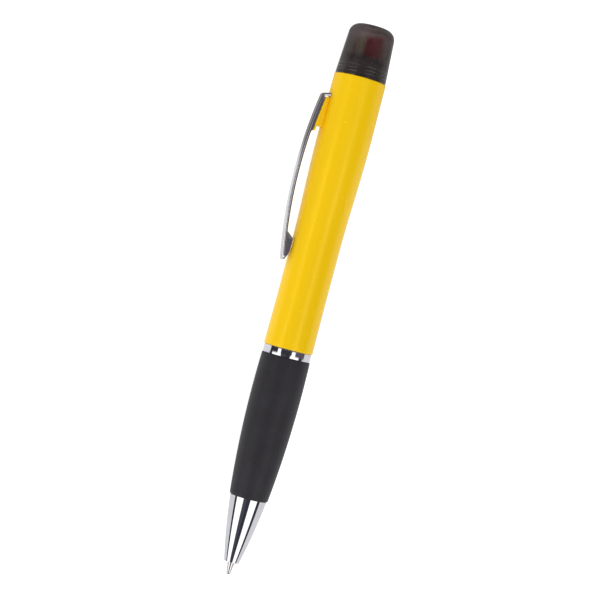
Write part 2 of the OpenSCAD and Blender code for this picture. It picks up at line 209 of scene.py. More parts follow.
def rounded_box(half_w, low_h, high_h, radius, steps=4):
    """Outline of a rectangle with round corners, as (side, out) points."""
    corners = [(half_w, high_h, 0), (-half_w, high_h, 90), (-half_w, low_h, 180), (half_w, low_h, 270)]
    points = []
    for x, y, start in corners:
        cx = x - math.copysign(radius, x)
        cy = y - radius if y == high_h else y + radius
        first, last = math.radians(start), math.radians(start + 90)
        points.append((cx + radius * math.cos(first) + SUPPORT * math.sin(first),
                       cy + radius * math.sin(first) - SUPPORT * math.cos(first)))
        for i in range(steps + 1):
            a = mix(first, last, i / steps)
            points.append((cx + radius * math.cos(a), cy + radius * math.sin(a)))
        points.append((cx + radius * math.cos(last) - SUPPORT * math.sin(last),
                       cy + radius * math.sin(last) + SUPPORT * math.cos(last)))
    return points


# ---------------------------------------------------------------------------
# Outside pieces
# ---------------------------------------------------------------------------

BARREL_BORE_R, BARREL_EDGE_R = 4.95, 0.16


def make_barrel():
    low, high = span("upper_barrel")
    low_edge, high_edge = low + BARREL_EDGE_R, high - BARREL_EDGE_R
    outline = (
        [(low, BARREL_BORE_R)]
        + arc(low_edge, barrel_r(low_edge) - BARREL_EDGE_R, BARREL_EDGE_R, -90, 0)
        + along(barrel_r, low_edge, high_edge, 90)[1:-1]
        + arc(high_edge, barrel_r(high_edge) - BARREL_EDGE_R, BARREL_EDGE_R, 0, 90)
        + [(high, BARREL_BORE_R)]
    )
    return mesh_object("barrel_shell", *join_data(lathe_data(outline), *seat_data()))


SEAT_LOW_Z, SEAT_HIGH_Z, SEAT_T = Z_CAP - 15.4, Z_CAP - 6.6, 0.45
SEAT_HEAD_W, SEAT_WEB_W, SEAT_OVERHANG, SEAT_WEB_INSET = 2.4, 1.1, 1.3, 0.05
SEAT_GAP, SEAT_ROOT, SEAT_CORNER_R = 0.05, 0.5, 0.14
FLANGE_DEPTH, FLANGE_T = 1.15, 0.35


def seat_data(steps=10):
    """The raised seat under the clip: a head that follows the arm, and the web that carries it."""
    def head_ring(z):
        top = clip_r(z) - FLANGE_DEPTH - SEAT_GAP
        section = rounded_box(SEAT_HEAD_W / 2, top - SEAT_T, top, SEAT_CORNER_R)
        return [at(h, w, z) for w, h in section]

    def web_ring(z):
        top = clip_r(z) - FLANGE_DEPTH - SEAT_GAP - SEAT_T / 2
        section = rounded_box(SEAT_WEB_W / 2, BARREL_BORE_R + SEAT_ROOT, top, SEAT_CORNER_R)
        return [at(h, w, z) for w, h in section]

    def heights(low, high):
        return [mix(low, high, i / steps) for i in range(steps + 1)]

    head = loft_data([head_ring(z) for z in heights(SEAT_LOW_Z, SEAT_HIGH_Z)])
    web_low, web_high = SEAT_LOW_Z + SEAT_OVERHANG, SEAT_HIGH_Z - SEAT_WEB_INSET
    web = loft_data([web_ring(z) for z in heights(web_low, web_high)])
    return head, web


CONE_BORE_R, CONE_SPRING_R, CONE_SOCKET_R = 1.25, 2.35, 3.32
CONE_BORE_LEN, CONE_SOCKET_LEN, CONE_LIP_R, CONE_RIM = 5.25, 5.9, 0.12, 0.06


def make_nose_cone():
    spring_z, socket_z = Z_MOUTH + CONE_BORE_LEN, Z_GRIP - CONE_SOCKET_LEN
    lip_z = Z_MOUTH + CONE_LIP_R
    outline = (
        [(Z_MOUTH, CONE_BORE_R)]
        + arc(lip_z, cone_r(lip_z) - CONE_LIP_R, CONE_LIP_R, -90, -8)
        + along(cone_r, lip_z, Z_GRIP - CONE_RIM, 48)[1:]
        + [(Z_GRIP, cone_r(Z_GRIP) - CONE_RIM)]
        + [(Z_GRIP, CONE_SOCKET_R), (socket_z, CONE_SOCKET_R), (socket_z, CONE_SPRING_R)]
        + [(spring_z, CONE_SPRING_R), (spring_z, CONE_BORE_R)]
    )
    return lathe("nose_cone_shell", outline)


GRIP_BORE_R, GRIP_HEAD_BORE_R, GRIP_HEAD_LEN = 4.12, 4.62, 5.05
GRIP_FOOT_R, GRIP_RIM_R = 0.35, 0.14


def make_grip():
    low, high = span("grip_sleeve")
    foot_z, rim_z, head_z = low + GRIP_FOOT_R, high - GRIP_RIM_R, Z_BAND - GRIP_HEAD_LEN
    outline = (
        [(low, GRIP_BORE_R)]
        + arc(foot_z, grip_r(foot_z) - GRIP_FOOT_R, GRIP_FOOT_R, -90, -4)
        + along(grip_r, foot_z, rim_z, 72)[1:-1]
        + arc(rim_z, grip_r(rim_z) - GRIP_RIM_R, GRIP_RIM_R, 0, 90)
        + [(high, GRIP_HEAD_BORE_R), (head_z, GRIP_HEAD_BORE_R), (head_z, GRIP_BORE_R)]
    )
    return lathe("grip_skin", outline)


BAND_R, BAND_BORE_R, BAND_EDGE_R = 6.0, 5.02, 0.07


def make_band():
    edge_centre_r = BAND_R - BAND_EDGE_R
    outline = (
        [(Z_BAND, BAND_BORE_R)]
        + arc(Z_BAND + BAND_EDGE_R, edge_centre_r, BAND_EDGE_R, -90, 0, 5)
        + arc(Z_BARREL - BAND_EDGE_R, edge_centre_r, BAND_EDGE_R, 0, 90, 5)
        + [(Z_BARREL, BAND_BORE_R)]
    )
    return lathe("centre_band_ring", outline)


CAP_MOUTH_R, CAP_TOP_R, CAP_CORNER_R, CAP_WALL, CAP_ROOF = 6.42, 5.78, 2.6, 1.15, 1.1
CAP_BORE_R, CAP_BORE_LEN, CAP_EDGE_R, CAP_STEP = 4.95, 4.6, 0.12, 0.3
RING_COUNT, RING_Z, RING_PITCH, RING_HALF_W, RING_H = 3, Z_CAP + 1.2, 0.85, 0.17, 0.05
RING_R = (RING_HALF_W ** 2 + RING_H ** 2) / 2 / RING_H
RING_SWEEP = math.degrees(math.asin(RING_HALF_W / RING_R))


def make_cap():
    low = span("cap")[0]
    shoulder_z = Z_TOP - CAP_CORNER_R
    inner_top = Z_TOP - CAP_ROOF
    inner_corner = CAP_CORNER_R - CAP_WALL
    bore_z = Z_CAP + CAP_BORE_LEN
    edge_z = low + CAP_EDGE_R

    def side_r(z):
        return mix(CAP_MOUTH_R, CAP_TOP_R, (z - low) / (shoulder_z - low))

    rings = []
    for i in range(RING_COUNT):
        z = RING_Z + i * RING_PITCH
        beside = RING_HALF_W + SUPPORT
        rings.append((z - beside, side_r(z - beside)))
        rings += arc(z, side_r(z) + RING_H - RING_R, RING_R, -RING_SWEEP, RING_SWEEP)
        rings.append((z + beside, side_r(z + beside)))
    outline = (
        [(low, CAP_BORE_R)]
        + arc(edge_z, CAP_MOUTH_R - CAP_EDGE_R, CAP_EDGE_R, -90, 0, 4)
        + rings
        + along(side_r, rings[-1][0], shoulder_z, 10)[1:-1]
        + arc(shoulder_z, CAP_TOP_R - CAP_CORNER_R, CAP_CORNER_R, 0, 90, 18)
        + [(Z_TOP, 0), (inner_top, 0)]
        + arc(inner_top - inner_corner, CAP_TOP_R - CAP_CORNER_R, inner_corner, 90, 0, 12)
        + [(bore_z, CAP_BORE_R - CAP_STEP), (bore_z - CAP_STEP, CAP_BORE_R)]
    )
    return lathe("cap_shell", outline)


# Clip: its section is swept along the bow and over the hook, which goes into the barrel
CLIP_W, CLIP_T, CLIP_EDGE_R, CLIP_LEAN, CLIP_CROWN = 2.0, 0.8, 0.35, 5, 0.03
CLIP_BREAK_W, CLIP_BREAK_H, CLIP_FOOT_IN = 0.04, 0.05, 0.01
CLIP_LOW_Z = Z_CAP - 48
CLIP_END_NARROW, CLIP_END_LEN = 0.86, 0.8
FLANGE_LAP, FLANGE_RISE, FLANGE_FALL, LEAN_FADE = 0.2, 0.4, 0.7, 0.4
HOOK_Z, HOOK_BEND, HOOK_TURN, HOOK_GAP = Z_CAP - 6.6, CLIP_T + 0.15, 75, 0.05
TAB_W, TAB_ROOT_R, TAB_END_R, TAB_INSET, TAB_CORNER_R = 1.5, 7.0, 4.6, 0.08, 0.1
PROW_Z, PROW_W, PROW_LEAN, PROW_GAP = CLIP_LOW_Z + 5.4, CLIP_W - 0.03, 1.8, 0.06
PROW_LIFT, PROW_RISE, PROW_EDGE_R = 0.14, 1.8, 0.12


def clip_slope(z):
    return math.atan((z - CLIP_FULL_Z) / CLIP_BOW)


def clip_half(depth, lean=CLIP_LEAN):
    """Half the arm's width at a depth below its outer face."""
    return CLIP_W / 2 + (CLIP_T - depth) * math.tan(math.radians(lean))


def channel(depth, lean):
    """Section of the arm as (side, out) points: a faintly crowned face, round edges, sides and flanges."""
    a = math.radians(lean)
    face = clip_half(CLIP_EDGE_R * (1 + math.sin(a)), lean) - CLIP_EDGE_R * math.cos(a)
    face_steps, edge_steps = 4, 8
    half = [(face * i / face_steps, -CLIP_CROWN * (i / face_steps) ** 2) for i in range(face_steps + 1)]
    for i in range(1, edge_steps + 1):
        b = (math.pi / 2 + a) * i / edge_steps
        half.append((face + CLIP_EDGE_R * math.sin(b), CLIP_EDGE_R * (math.cos(b) - 1) - CLIP_CROWN))
    start, end = half[-1], (clip_half(depth, lean) - CLIP_FOOT_IN, CLIP_BREAK_H - depth)
    # Points close to both ends of the side keep it flat between its roundings
    half += [(mix(start[0], end[0], t), mix(start[1], end[1], t)) for t in (0.08, 0.92, 1)]
    half += [(end[0] - CLIP_BREAK_W, -depth), (end[0] - FLANGE_T, -depth)]
    half.append((clip_half(CLIP_T, lean) - FLANGE_T - CLIP_BREAK_W, -CLIP_T))
    return [(-w, h) for w, h in half[:0:-1]] + half


def clip_path():
    """Stations along the arm's outer face, as height, radius and its normal's turn in degrees."""
    arm_steps, hook_steps = 60, 12
    slope = clip_slope(HOOK_Z)
    centre_r = clip_r(HOOK_Z) - HOOK_BEND * math.cos(slope)
    stations = []
    for i in range(arm_steps + 1):
        z = mix(CLIP_LOW_Z, HOOK_Z + HOOK_BEND * math.sin(slope), i / arm_steps)
        stations.append((z, clip_r(z), math.degrees(clip_slope(z))))
    for i in range(1, hook_steps + 1):
        turn = mix(math.degrees(slope), HOOK_TURN, i / hook_steps)
        a = math.radians(turn)
        stations.append((HOOK_Z + HOOK_BEND * math.sin(a), centre_r + HOOK_BEND * math.cos(a), turn))
    return stations


def hook_top_at(out):
    """Height of the hook's outer face where it has come down to a radius."""
    z, r, turn = clip_path()[-1]
    return z + (r - out) / math.tan(math.radians(turn))


def hook_end():
    """The hook's end, cut to follow the barrel."""
    ring = []
    for w, h in channel(CLIP_T, 0):
        out = math.sqrt(barrel_r(HOOK_Z) ** 2 - w ** 2) + HOOK_GAP
        ring.append(at(out, w, hook_top_at(out) + h / math.sin(math.radians(HOOK_TURN))))
    return ring


def make_clip():
    """The arm and its hook, swept as one section that deepens into flanges over the seat."""
    flange_low, flange_high = SEAT_LOW_Z - FLANGE_LAP, HOOK_Z + FLANGE_LAP
    rings = []
    for z, r, turn in clip_path():
        flange = smooth((z - flange_low) / FLANGE_RISE) * smooth((flange_high - z) / FLANGE_FALL)
        lean = CLIP_LEAN * (1 - smooth((z - HOOK_Z) / LEAN_FADE))
        section = channel(mix(CLIP_T, FLANGE_DEPTH, flange), lean)
        narrow = mix(CLIP_END_NARROW, 1, smooth((z - CLIP_LOW_Z) / CLIP_END_LEN))
        a = math.radians(turn)
        rings.append([at(r + h * math.cos(a), w * narrow, z + h * math.sin(a)) for w, h in section])
    rings.append(hook_end())
    return mesh_object("pocket_clip_skin", *join_data(loft_data(rings), prow_data(), tab_data()))


def prow_data(steps=20, edge_steps=6):
    """The prow that curls in under the free end to where it presses on the barrel."""
    touch = WAIST_R + PROW_GAP
    tip_r = clip_r(CLIP_LOW_Z) - CLIP_T / 2 - PROW_GAP
    shares = [1 - i / steps for i in range(steps + 1)]
    stations = [(mix(PROW_Z, CLIP_LOW_Z + PROW_GAP, s), mix(touch, tip_r, s ** 3)) for s in shares]
    stations += [(PROW_Z + PROW_LIFT / 2, touch + PROW_LIFT / 4), (PROW_Z + PROW_LIFT, touch + PROW_LIFT)]
    rise_z = PROW_Z + PROW_RISE
    stations.append((rise_z, clip_r(rise_z) - CLIP_T + PROW_GAP))
    lean = math.tan(math.radians(PROW_LEAN))
    rings = []
    for z, low in stations:
        top = clip_r(z) - CLIP_T / 2
        foot = PROW_W / 2 - (clip_r(z) - CLIP_T - low) * lean
        edge = min(PROW_EDGE_R, (top - low) / 3)
        flat = edge + SUPPORT
        side = [(PROW_W / 2 + CLIP_T / 2 * lean, top), (foot + flat * lean, low + flat)]
        for i in range(edge_steps + 1):
            a = math.pi / 2 * i / edge_steps
            side.append((foot - edge * (1 - math.cos(a)), low + edge * (1 - math.sin(a))))
        rings.append([at(h, w, z) for w, h in side + [(-w, h) for w, h in reversed(side)]])
    return loft_data(rings)


def tab_data():
    """The tab that carries the hook on through the barrel's wall."""
    top = hook_top_at(barrel_r(HOOK_Z))
    section = rounded_box(TAB_W / 2, TAB_INSET - CLIP_T, -TAB_INSET, TAB_CORNER_R)
    return loft_data([[at(r, w, top + h) for w, h in section] for r in (TAB_ROOT_R, TAB_END_R)])


HOLDER_BORE_R, HOLDER_TUBE_R, HOLDER_PLUG_R, HOLDER_SEAT_R = 1.6, 3.83, 4.3, 4.93
HOLDER_TUBE_LEN, HOLDER_SEAT_LEN = 2.55, 3.8
NECK_R, NECK_LEN, NECK_EDGE_R = 4.6, 4.5, 0.25
COLLAR_R, COLLAR_LEN, COLLAR_EDGE_R = 4.0, 0.9, 0.3
SNAP_COUNT, SNAP_Z, SNAP_R, SNAP_W, SNAP_PITCH, SNAP_ROOT = 3, Z_CAP + 1.75, 4.9, 0.35, 0.95, 0.06


def make_nib_holder():
    low = span("nib_holder")[0]
    plug_z, seat_z = low + HOLDER_TUBE_LEN, Z_CAP - HOLDER_SEAT_LEN
    neck_z = Z_CAP + NECK_LEN
    collar_z = neck_z + COLLAR_LEN
    ribs = []
    for i in range(SNAP_COUNT):
        z = SNAP_Z + i * SNAP_PITCH
        ribs.append((z - SNAP_ROOT, NECK_R))
        ribs += arc(z + SNAP_W / 2, SNAP_R - SNAP_W / 2, SNAP_W / 2, -90, 90)
        ribs.append((z + SNAP_W + SNAP_ROOT, NECK_R))
    outline = (
        [(low, HOLDER_BORE_R), (low, HOLDER_TUBE_R), (plug_z, HOLDER_TUBE_R), (plug_z, HOLDER_PLUG_R)]
        + [(seat_z, HOLDER_PLUG_R), (seat_z, HOLDER_SEAT_R), (Z_CAP, HOLDER_SEAT_R), (Z_CAP, NECK_R)]
        + ribs
        + arc(neck_z - NECK_EDGE_R, NECK_R - NECK_EDGE_R, NECK_EDGE_R, 0, 90, 4)
        + [(neck_z, COLLAR_R)]
        + arc(collar_z - COLLAR_EDGE_R, COLLAR_R - COLLAR_EDGE_R, COLLAR_EDGE_R, 0, 90, 4)
        + [(collar_z, HOLDER_BORE_R)]
    )
    return lathe("nib_holder_body", outline)


NIB_W, NIB_T, NIB_TURN, NIB_SLANT, NIB_CORNER_R = 6.2, 4.2, 22, 2.0, 0.55
NIB_FOOT_Z, NIB_EDGE_H, NIB_EDGE_NARROW = Z_CAP + 1.6, 0.45, 0.16
STEM_R, STEM_LAP = 1.6, 0.4
FELT_SWELL = 0.05


def make_nib():
    """Felt chisel nib: a rounded block with a slanted, slightly worn writing edge."""
    low, high = span("detector_nib")
    turn = math.radians(NIB_TURN)
    rows, edge_rows = 30, 7

    def section(scale, z_of):
        half_t = NIB_T / 2 * scale
        ring = []
        for w, t in rounded_box(NIB_W / 2 * scale, -half_t, half_t, NIB_CORNER_R * scale, 7):
            x, y = w * math.cos(turn) - t * math.sin(turn), w * math.sin(turn) + t * math.cos(turn)
            ring.append((x, y, z_of(w)))
        return ring

    def edge_at(w):
        return high - NIB_SLANT * (w + NIB_W / 2) / NIB_W - NIB_EDGE_H

    rings = []
    for i in range(rows + 1):
        t = i / rows
        rings.append(section(1.0, lambda w, t=t: mix(NIB_FOOT_Z, edge_at(w), t)))
    for i in range(1, edge_rows):
        a = math.radians(90 * i / edge_rows)
        scale = 1 - NIB_EDGE_NARROW * (1 - math.cos(a))
        rings.append(section(scale, lambda w, a=a: edge_at(w) + NIB_EDGE_H * math.sin(a)))
    body = loft_data([[at(*felt(p)) for p in ring] for ring in rings])
    stem_z = NIB_FOOT_Z + STEM_LAP
    stem = lathe_data([(low, 0), (low, STEM_R), (stem_z, STEM_R), (stem_z, 0)], 48)
    return mesh_object("detector_nib_felt", *join_data(body, stem))


def felt(p):
    """Moves a point a little in or out, as pressed fibre is never quite flat."""
    x, y, z = p
    swell = FELT_SWELL * noise.noise(Vector((x * 1.1, y * 1.1, z * 0.5)))
    return x * (1 + swell / 3), y * (1 + swell / 3), z


BALL_R, BALL_PLAY = 0.5, 0.02
POINT_BORE_R, POINT_BORE_Z, POINT_TAIL_R, POINT_R = 0.3, BALL_R + 0.42, 1.08, 1.15
POINT_LIP_R, POINT_LIP_LEN, POINT_STEP_Z, POINT_FULL_Z = 0.53, 0.25, 2.35, 5.15


def ball_socket():
    """The seat that holds the ball, from behind it to the lip that keeps it in."""
    r = BALL_R + BALL_PLAY
    angles = [math.radians(a) for a in (150, 125, 100, 86, 80, 74)]
    return [(BALL_R - r * math.cos(a), r * math.sin(a)) for a in angles]


def make_point():
    low, high = span("refill_point")
    shank_z = span("refill_tube")[0] - 0.05
    outline = (
        [(high, POINT_BORE_R), (POINT_BORE_Z, POINT_BORE_R)]
        + ball_socket()
        + [(low, POINT_LIP_R), (low + POINT_LIP_LEN, POINT_LIP_R + 0.04)]
        + [(POINT_STEP_Z, 0.79), (POINT_STEP_Z + 0.05, 0.86), (POINT_STEP_Z + 0.6, 0.9)]
        + [(POINT_FULL_Z - 0.15, POINT_R - 0.02), (POINT_FULL_Z, POINT_R)]
        + [(shank_z, POINT_R), (shank_z, POINT_TAIL_R), (high, POINT_TAIL_R)]
    )
    return lathe("refill_point_turned", outline, 96)


def make_ball():
    steps = 24
    turns = [math.pi * i / steps for i in range(steps + 1)]
    outline = [(BALL_R - BALL_R * math.cos(a), BALL_R * math.sin(a)) for a in turns]
    return lathe("writing_ball_ground", outline, 48)


# ---------------------------------------------------------------------------
# Materials
# ---------------------------------------------------------------------------

MIX_A, MIX_B, MIX_RESULT = 6, 7, 2       # the colour sockets of a Mix node


def fill_ramp(node, stops):
    """Gives a colour ramp its stops, as (place, colour)."""
    ramp = node.color_ramp
    while len(ramp.elements) < len(stops):
        ramp.elements.new(0.5)
    for element, (place, colour) in zip(ramp.elements, stops):
        element.position = place
        element.color = (*colour, 1)


def mix_colours(tree, share, first, second):
    """Blends from one colour to another as the share goes from 0 to 1."""
    node = tree.nodes.new("ShaderNodeMix")
    node.data_type = "RGBA"
    tree.links.new(share, node.inputs["Factor"])
    tree.links.new(first, node.inputs[MIX_A])
    tree.links.new(second, node.inputs[MIX_B])
    return node.outputs[MIX_RESULT]


class Nodes:
    """Builds a Principled material out of nodes. Fixed values go straight on the shader's sockets."""

    def __init__(self, name, **fixed):
        self.material = bpy.data.materials.new(name)
        self.material.use_nodes = True
        self.tree = self.material.node_tree
        self.shader = self.tree.nodes["Principled BSDF"]
        for key, value in fixed.items():
            self.shader.inputs[key.replace("_", " ")].default_value = value
        self.coords = self.tree.nodes.new("ShaderNodeTexCoord").outputs["Object"]

    def add(self, kind, **settings):
        node = self.tree.nodes.new(kind)
        for key, value in settings.items():
            setattr(node, key, value)
        return node

    def link(self, source, target):
        self.tree.links.new(source, target)

    def scaled(self, scale):
        node = self.add("ShaderNodeMapping")
        node.inputs["Scale"].default_value = scale
        self.link(self.coords, node.inputs["Vector"])
        return node.outputs["Vector"]

    def noise(self, scale, detail=3.0, roughness=0.5, stretch=(1, 1, 1)):
        node = self.add("ShaderNodeTexNoise")
        node.inputs["Scale"].default_value = scale
        node.inputs["Detail"].default_value = detail
        node.inputs["Roughness"].default_value = roughness
        self.link(self.scaled(stretch), node.inputs["Vector"])
        return node.outputs["Fac"]

    def ramp(self, source, stops):
        node = self.add("ShaderNodeValToRGB")
        fill_ramp(node, stops)
        self.link(source, node.inputs["Fac"])
        return node.outputs["Color"]

    def grey_ramp(self, source, low, high, start=0.3, end=0.7):
        """Spreads a source's values between start and end over low to high."""
        node = self.add("ShaderNodeMapRange")
        for key, value in (("From Min", start), ("From Max", end), ("To Min", low), ("To Max", high)):
            node.inputs[key].default_value = value
        self.link(source, node.inputs["Value"])
        return node.outputs["Result"]

    def colour(self, source):
        self.link(source, self.shader.inputs["Base Color"])

    def roughness(self, source):
        self.link(source, self.shader.inputs["Roughness"])

    def bump(self, height, strength, distance):
        """Adds a bump to those the surface already has."""
        node = self.add("ShaderNodeBump")
        node.inputs["Strength"].default_value = strength
        node.inputs["Distance"].default_value = distance
        self.link(height, node.inputs["Height"])
        previous = self.shader.inputs["Normal"]
        if previous.is_linked:
            self.link(previous.links[0].from_socket, node.inputs["Normal"])
        self.link(node.outputs["Normal"], previous)


def yellow_plastic():
    m = Nodes("yellow_gloss_plastic", IOR=1.5, Specular_IOR_Level=1.0, Specular_Tint=(1, 0.82, 0.2, 1))
    flow = m.noise(60, 3, 0.5, stretch=(0.12, 1, 1))
    deep, middle, bright = (0.91, 0.56, 0.002), (0.94, 0.59, 0.003), (0.96, 0.615, 0.005)
    m.colour(m.ramp(flow, [(0.25, deep), (0.55, middle), (0.8, bright)]))
    m.roughness(m.grey_ramp(m.noise(900, 4, 0.6), 0.20, 0.28))
    m.bump(flow, 0.35, 0.00006)
    m.bump(m.noise(700, 2, 0.4), 0.05, 0.00003)
    return m.material


def chrome_plate():
    m = Nodes("chrome_plate", Metallic=1.0)
    wear = m.noise(500, 5, 0.6, stretch=(1, 0.6, 0.6))
    m.colour(m.ramp(wear, [(0.3, (0.83, 0.83, 0.85)), (0.7, (0.9, 0.9, 0.915))]))
    m.roughness(m.grey_ramp(m.noise(2600, 6, 0.7, stretch=(3.0, 0.5, 0.5)), 0.035, 0.09))
    m.bump(m.noise(240, 2, 0.4), 0.08, 0.00003)
    return m.material


def soft_rubber():
    m = Nodes("soft_touch_rubber", IOR=1.45, Sheen_Weight=0.04, Sheen_Roughness=0.5)
    cloud = m.noise(180, 4, 0.6)
    m.colour(m.ramp(cloud, [(0.3, (0.016, 0.014, 0.0175)), (0.7, (0.022, 0.020, 0.0245))]))
    m.roughness(m.grey_ramp(m.noise(2400, 4, 0.6), 0.46, 0.62))
    m.bump(m.noise(5200, 3, 0.65), 0.22, 0.00003)
    return m.material


SMOKE_COLOUR, SMOKE_DENSITY = (0.25, 0.165, 0.145), 1120


def smoked_plastic():
    """Clear plastic dyed in the mass, so that it is darker where light passes through more of it."""
    m = Nodes("smoked_clear_plastic", IOR=1.49, Transmission_Weight=1.0,
              Coat_Weight=0.8, Coat_Roughness=0.07)
    swirl = m.noise(120, 3, 0.5, stretch=(0.3, 1, 1))
    m.colour(m.ramp(swirl, [(0.3, (0.95, 0.94, 0.93)), (0.7, (1, 1, 1))]))
    m.roughness(m.grey_ramp(m.noise(1500, 4, 0.6), 0.30, 0.36))
    m.bump(m.noise(160, 2, 0.4), 0.05, 0.00005)
    dye = m.add("ShaderNodeVolumeAbsorption")
    dye.inputs["Color"].default_value = (*SMOKE_COLOUR, 1)
    dye.inputs["Density"].default_value = SMOKE_DENSITY
    output = m.tree.nodes["Material Output"]
    m.link(dye.outputs["Volume"], output.inputs["Volume"])
    # Light on its way to the marker goes straight through the surface, and only the dye weakens it
    through = m.add("ShaderNodeMixShader")
    m.link(m.add("ShaderNodeLightPath").outputs["Is Shadow Ray"], through.inputs["Fac"])
    m.link(m.shader.outputs["BSDF"], through.inputs[1])
    m.link(m.add("ShaderNodeBsdfTransparent").outputs["BSDF"], through.inputs[2])
    m.link(through.outputs["Shader"], output.inputs["Surface"])
    return m.material


def stained_felt_painted_light():
    """Bonded fibre that the ink has stained wine red; the narrow side nearer the clip is painted olive, a
    painted highlight standing in for the light that falls on that side.
    """
    m = Nodes("stained_felt_painted_light", Sheen_Weight=0.4, Sheen_Roughness=0.6)
    fibre = m.noise(2600, 6, 0.75, stretch=(0.16, 1, 1))
    red = m.ramp(fibre, [(0.25, (0.82, 0.06, 0.10)), (0.75, (0.97, 0.13, 0.18))])
    painted_light_olive = m.ramp(fibre, [(0.25, (0.82, 0.76, 0.46)), (0.75, (0.95, 0.90, 0.66))])
    # Painted light: the olive goes on the faces that turn towards the clip's side of the nib, where the
    # light falls, and is no stain of the felt
    normal = m.add("ShaderNodeNewGeometry").outputs["Normal"]
    painted_light_facing = m.add("ShaderNodeVectorMath", operation="DOT_PRODUCT")
    a = math.radians(NIB_TURN)
    painted_light_facing.inputs[1].default_value = OUT * math.cos(a) + SIDE * math.sin(a)
    m.link(normal, painted_light_facing.inputs[0])
    m.colour(mix_colours(m.tree, m.grey_ramp(painted_light_facing.outputs["Value"], 0, 1, 0.45, 0.85), red, painted_light_olive))
    m.roughness(m.grey_ramp(fibre, 0.75, 0.95))
    m.bump(fibre, 0.8, 0.00012)
    return m.material


METAL_GRAIN = 2200


def metal(name, dark, light, rough_low, rough_high):
    m = Nodes(name, Metallic=1.0)
    m.colour(m.ramp(m.noise(700, 4, 0.6), [(0.3, dark), (0.7, light)]))
    m.roughness(m.grey_ramp(m.noise(METAL_GRAIN, 5, 0.7, stretch=(6, 1, 1)), rough_low, rough_high))
    m.bump(m.noise(METAL_GRAIN, 4, 0.6, stretch=(8, 1, 1)), 0.15, 0.00002)
    return m.material


def plain_plastic(name, dark, light, rough_low=0.3, rough_high=0.45):
    m = Nodes(name)
    m.colour(m.ramp(m.noise(260, 4, 0.6), [(0.3, dark), (0.7, light)]))
    m.roughness(m.grey_ramp(m.noise(1600, 4, 0.6), rough_low, rough_high))
    m.bump(m.noise(2600, 3, 0.6), 0.12, 0.00003)
    return m.material


CHROME = chrome_plate()
WHITE_PLASTIC = plain_plastic("white_satin_plastic", (0.70, 0.70, 0.67), (0.80, 0.80, 0.77))
CLEAR_PLASTIC = plain_plastic("milky_plastic", (0.66, 0.66, 0.62), (0.78, 0.78, 0.74), 0.15, 0.25)
BLACK_PLASTIC = plain_plastic("black_satin_plastic", (0.018, 0.017, 0.018), (0.030, 0.028, 0.029))
GREY_PLASTIC = plain_plastic("grey_satin_plastic", (0.40, 0.385, 0.40), (0.50, 0.485, 0.50))
POINT_METAL = metal("nickel_plated_brass", (0.82, 0.78, 0.76), (0.88, 0.84, 0.82), 0.08, 0.15)
BALL_METAL = metal("ground_carbide", (0.16, 0.16, 0.17), (0.26, 0.26, 0.28), 0.10, 0.2)


def finish_piece(piece, body, node, material):
    """Puts a piece on its body in place of its CAD node."""
    piece.data.materials.clear()
    piece.data.materials.append(material)
    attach(piece, body)
    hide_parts(node)


finish_piece(make_barrel(), "barrel", "upper_barrel", yellow_plastic())
finish_piece(make_nose_cone(), "front", "nose_cone", CHROME)
finish_piece(make_grip(), "front", "grip_sleeve", soft_rubber())
finish_piece(make_band(), "front", "centre_band", CHROME)
finish_piece(make_cap(), "cap", "cap", smoked_plastic())
finish_piece(make_clip(), "clip", "pocket_clip", CHROME)
finish_piece(make_nib_holder(), "barrel", "nib_holder", GREY_PLASTIC)
finish_piece(make_nib(), "barrel", "detector_nib", stained_felt_painted_light())
finish_piece(make_point(), "refill", "refill_point", POINT_METAL)
finish_piece(make_ball(), "ball", "writing_ball", BALL_METAL)

# Inside parts keep their CAD shape
INSIDE = {
    "marker_cartridge": CLEAR_PLASTIC,
    "ink_reservoir": plain_plastic("soaked_fibre", (0.30, 0.13, 0.035), (0.48, 0.24, 0.07), 0.8, 0.95),
    "cartridge_plug": WHITE_PLASTIC,
    "cam_sleeve": WHITE_PLASTIC,
    "grip_carrier": BLACK_PLASTIC,
    "guide_sleeve": WHITE_PLASTIC,
    "mechanism_cap": WHITE_PLASTIC,
    "refill_spring": metal("spring_wire", (0.50, 0.50, 0.52), (0.64, 0.64, 0.66), 0.2, 0.35),
    "refill_pusher": WHITE_PLASTIC,
    "refill_tube": CLEAR_PLASTIC,
    "writing_ink": plain_plastic("black_ink_paste", (0.006, 0.006, 0.012), (0.012, 0.012, 0.022), 0.1, 0.2),
    "ink_follower": plain_plastic("follower_grease", (0.50, 0.42, 0.22), (0.62, 0.54, 0.30), 0.1, 0.2),
}
for node_name, inside_material in INSIDE.items():
    cad_node = frame["nodes"][node_name]
    cad_node.data.materials.clear()
    cad_node.data.materials.append(inside_material)

# ---------------------------------------------------------------------------
# Floor, light and camera
# ---------------------------------------------------------------------------

VIEW_FROM_CLIP = 70      # degrees round the axis from the clip to the camera
PEN_TILT = 14.95         # lean of the pen in the picture, in degrees
DISTANCE = 0.5
FIELD = 0.1484           # width of the picture at the pen, in metres
AIM_RIGHT, AIM_UP = -0.00026, 0.00015
SENSOR = 36              # width of the camera's sensor, in mm

CLIP_TILT = math.degrees(math.asin(-OUT.z))
CAMERA_RISE = VIEW_FROM_CLIP - CLIP_TILT
MIDDLE = Vector(((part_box("writing_ball")[1].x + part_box("cap")[0].x) / 2, AXIS.y, AXIS.z))

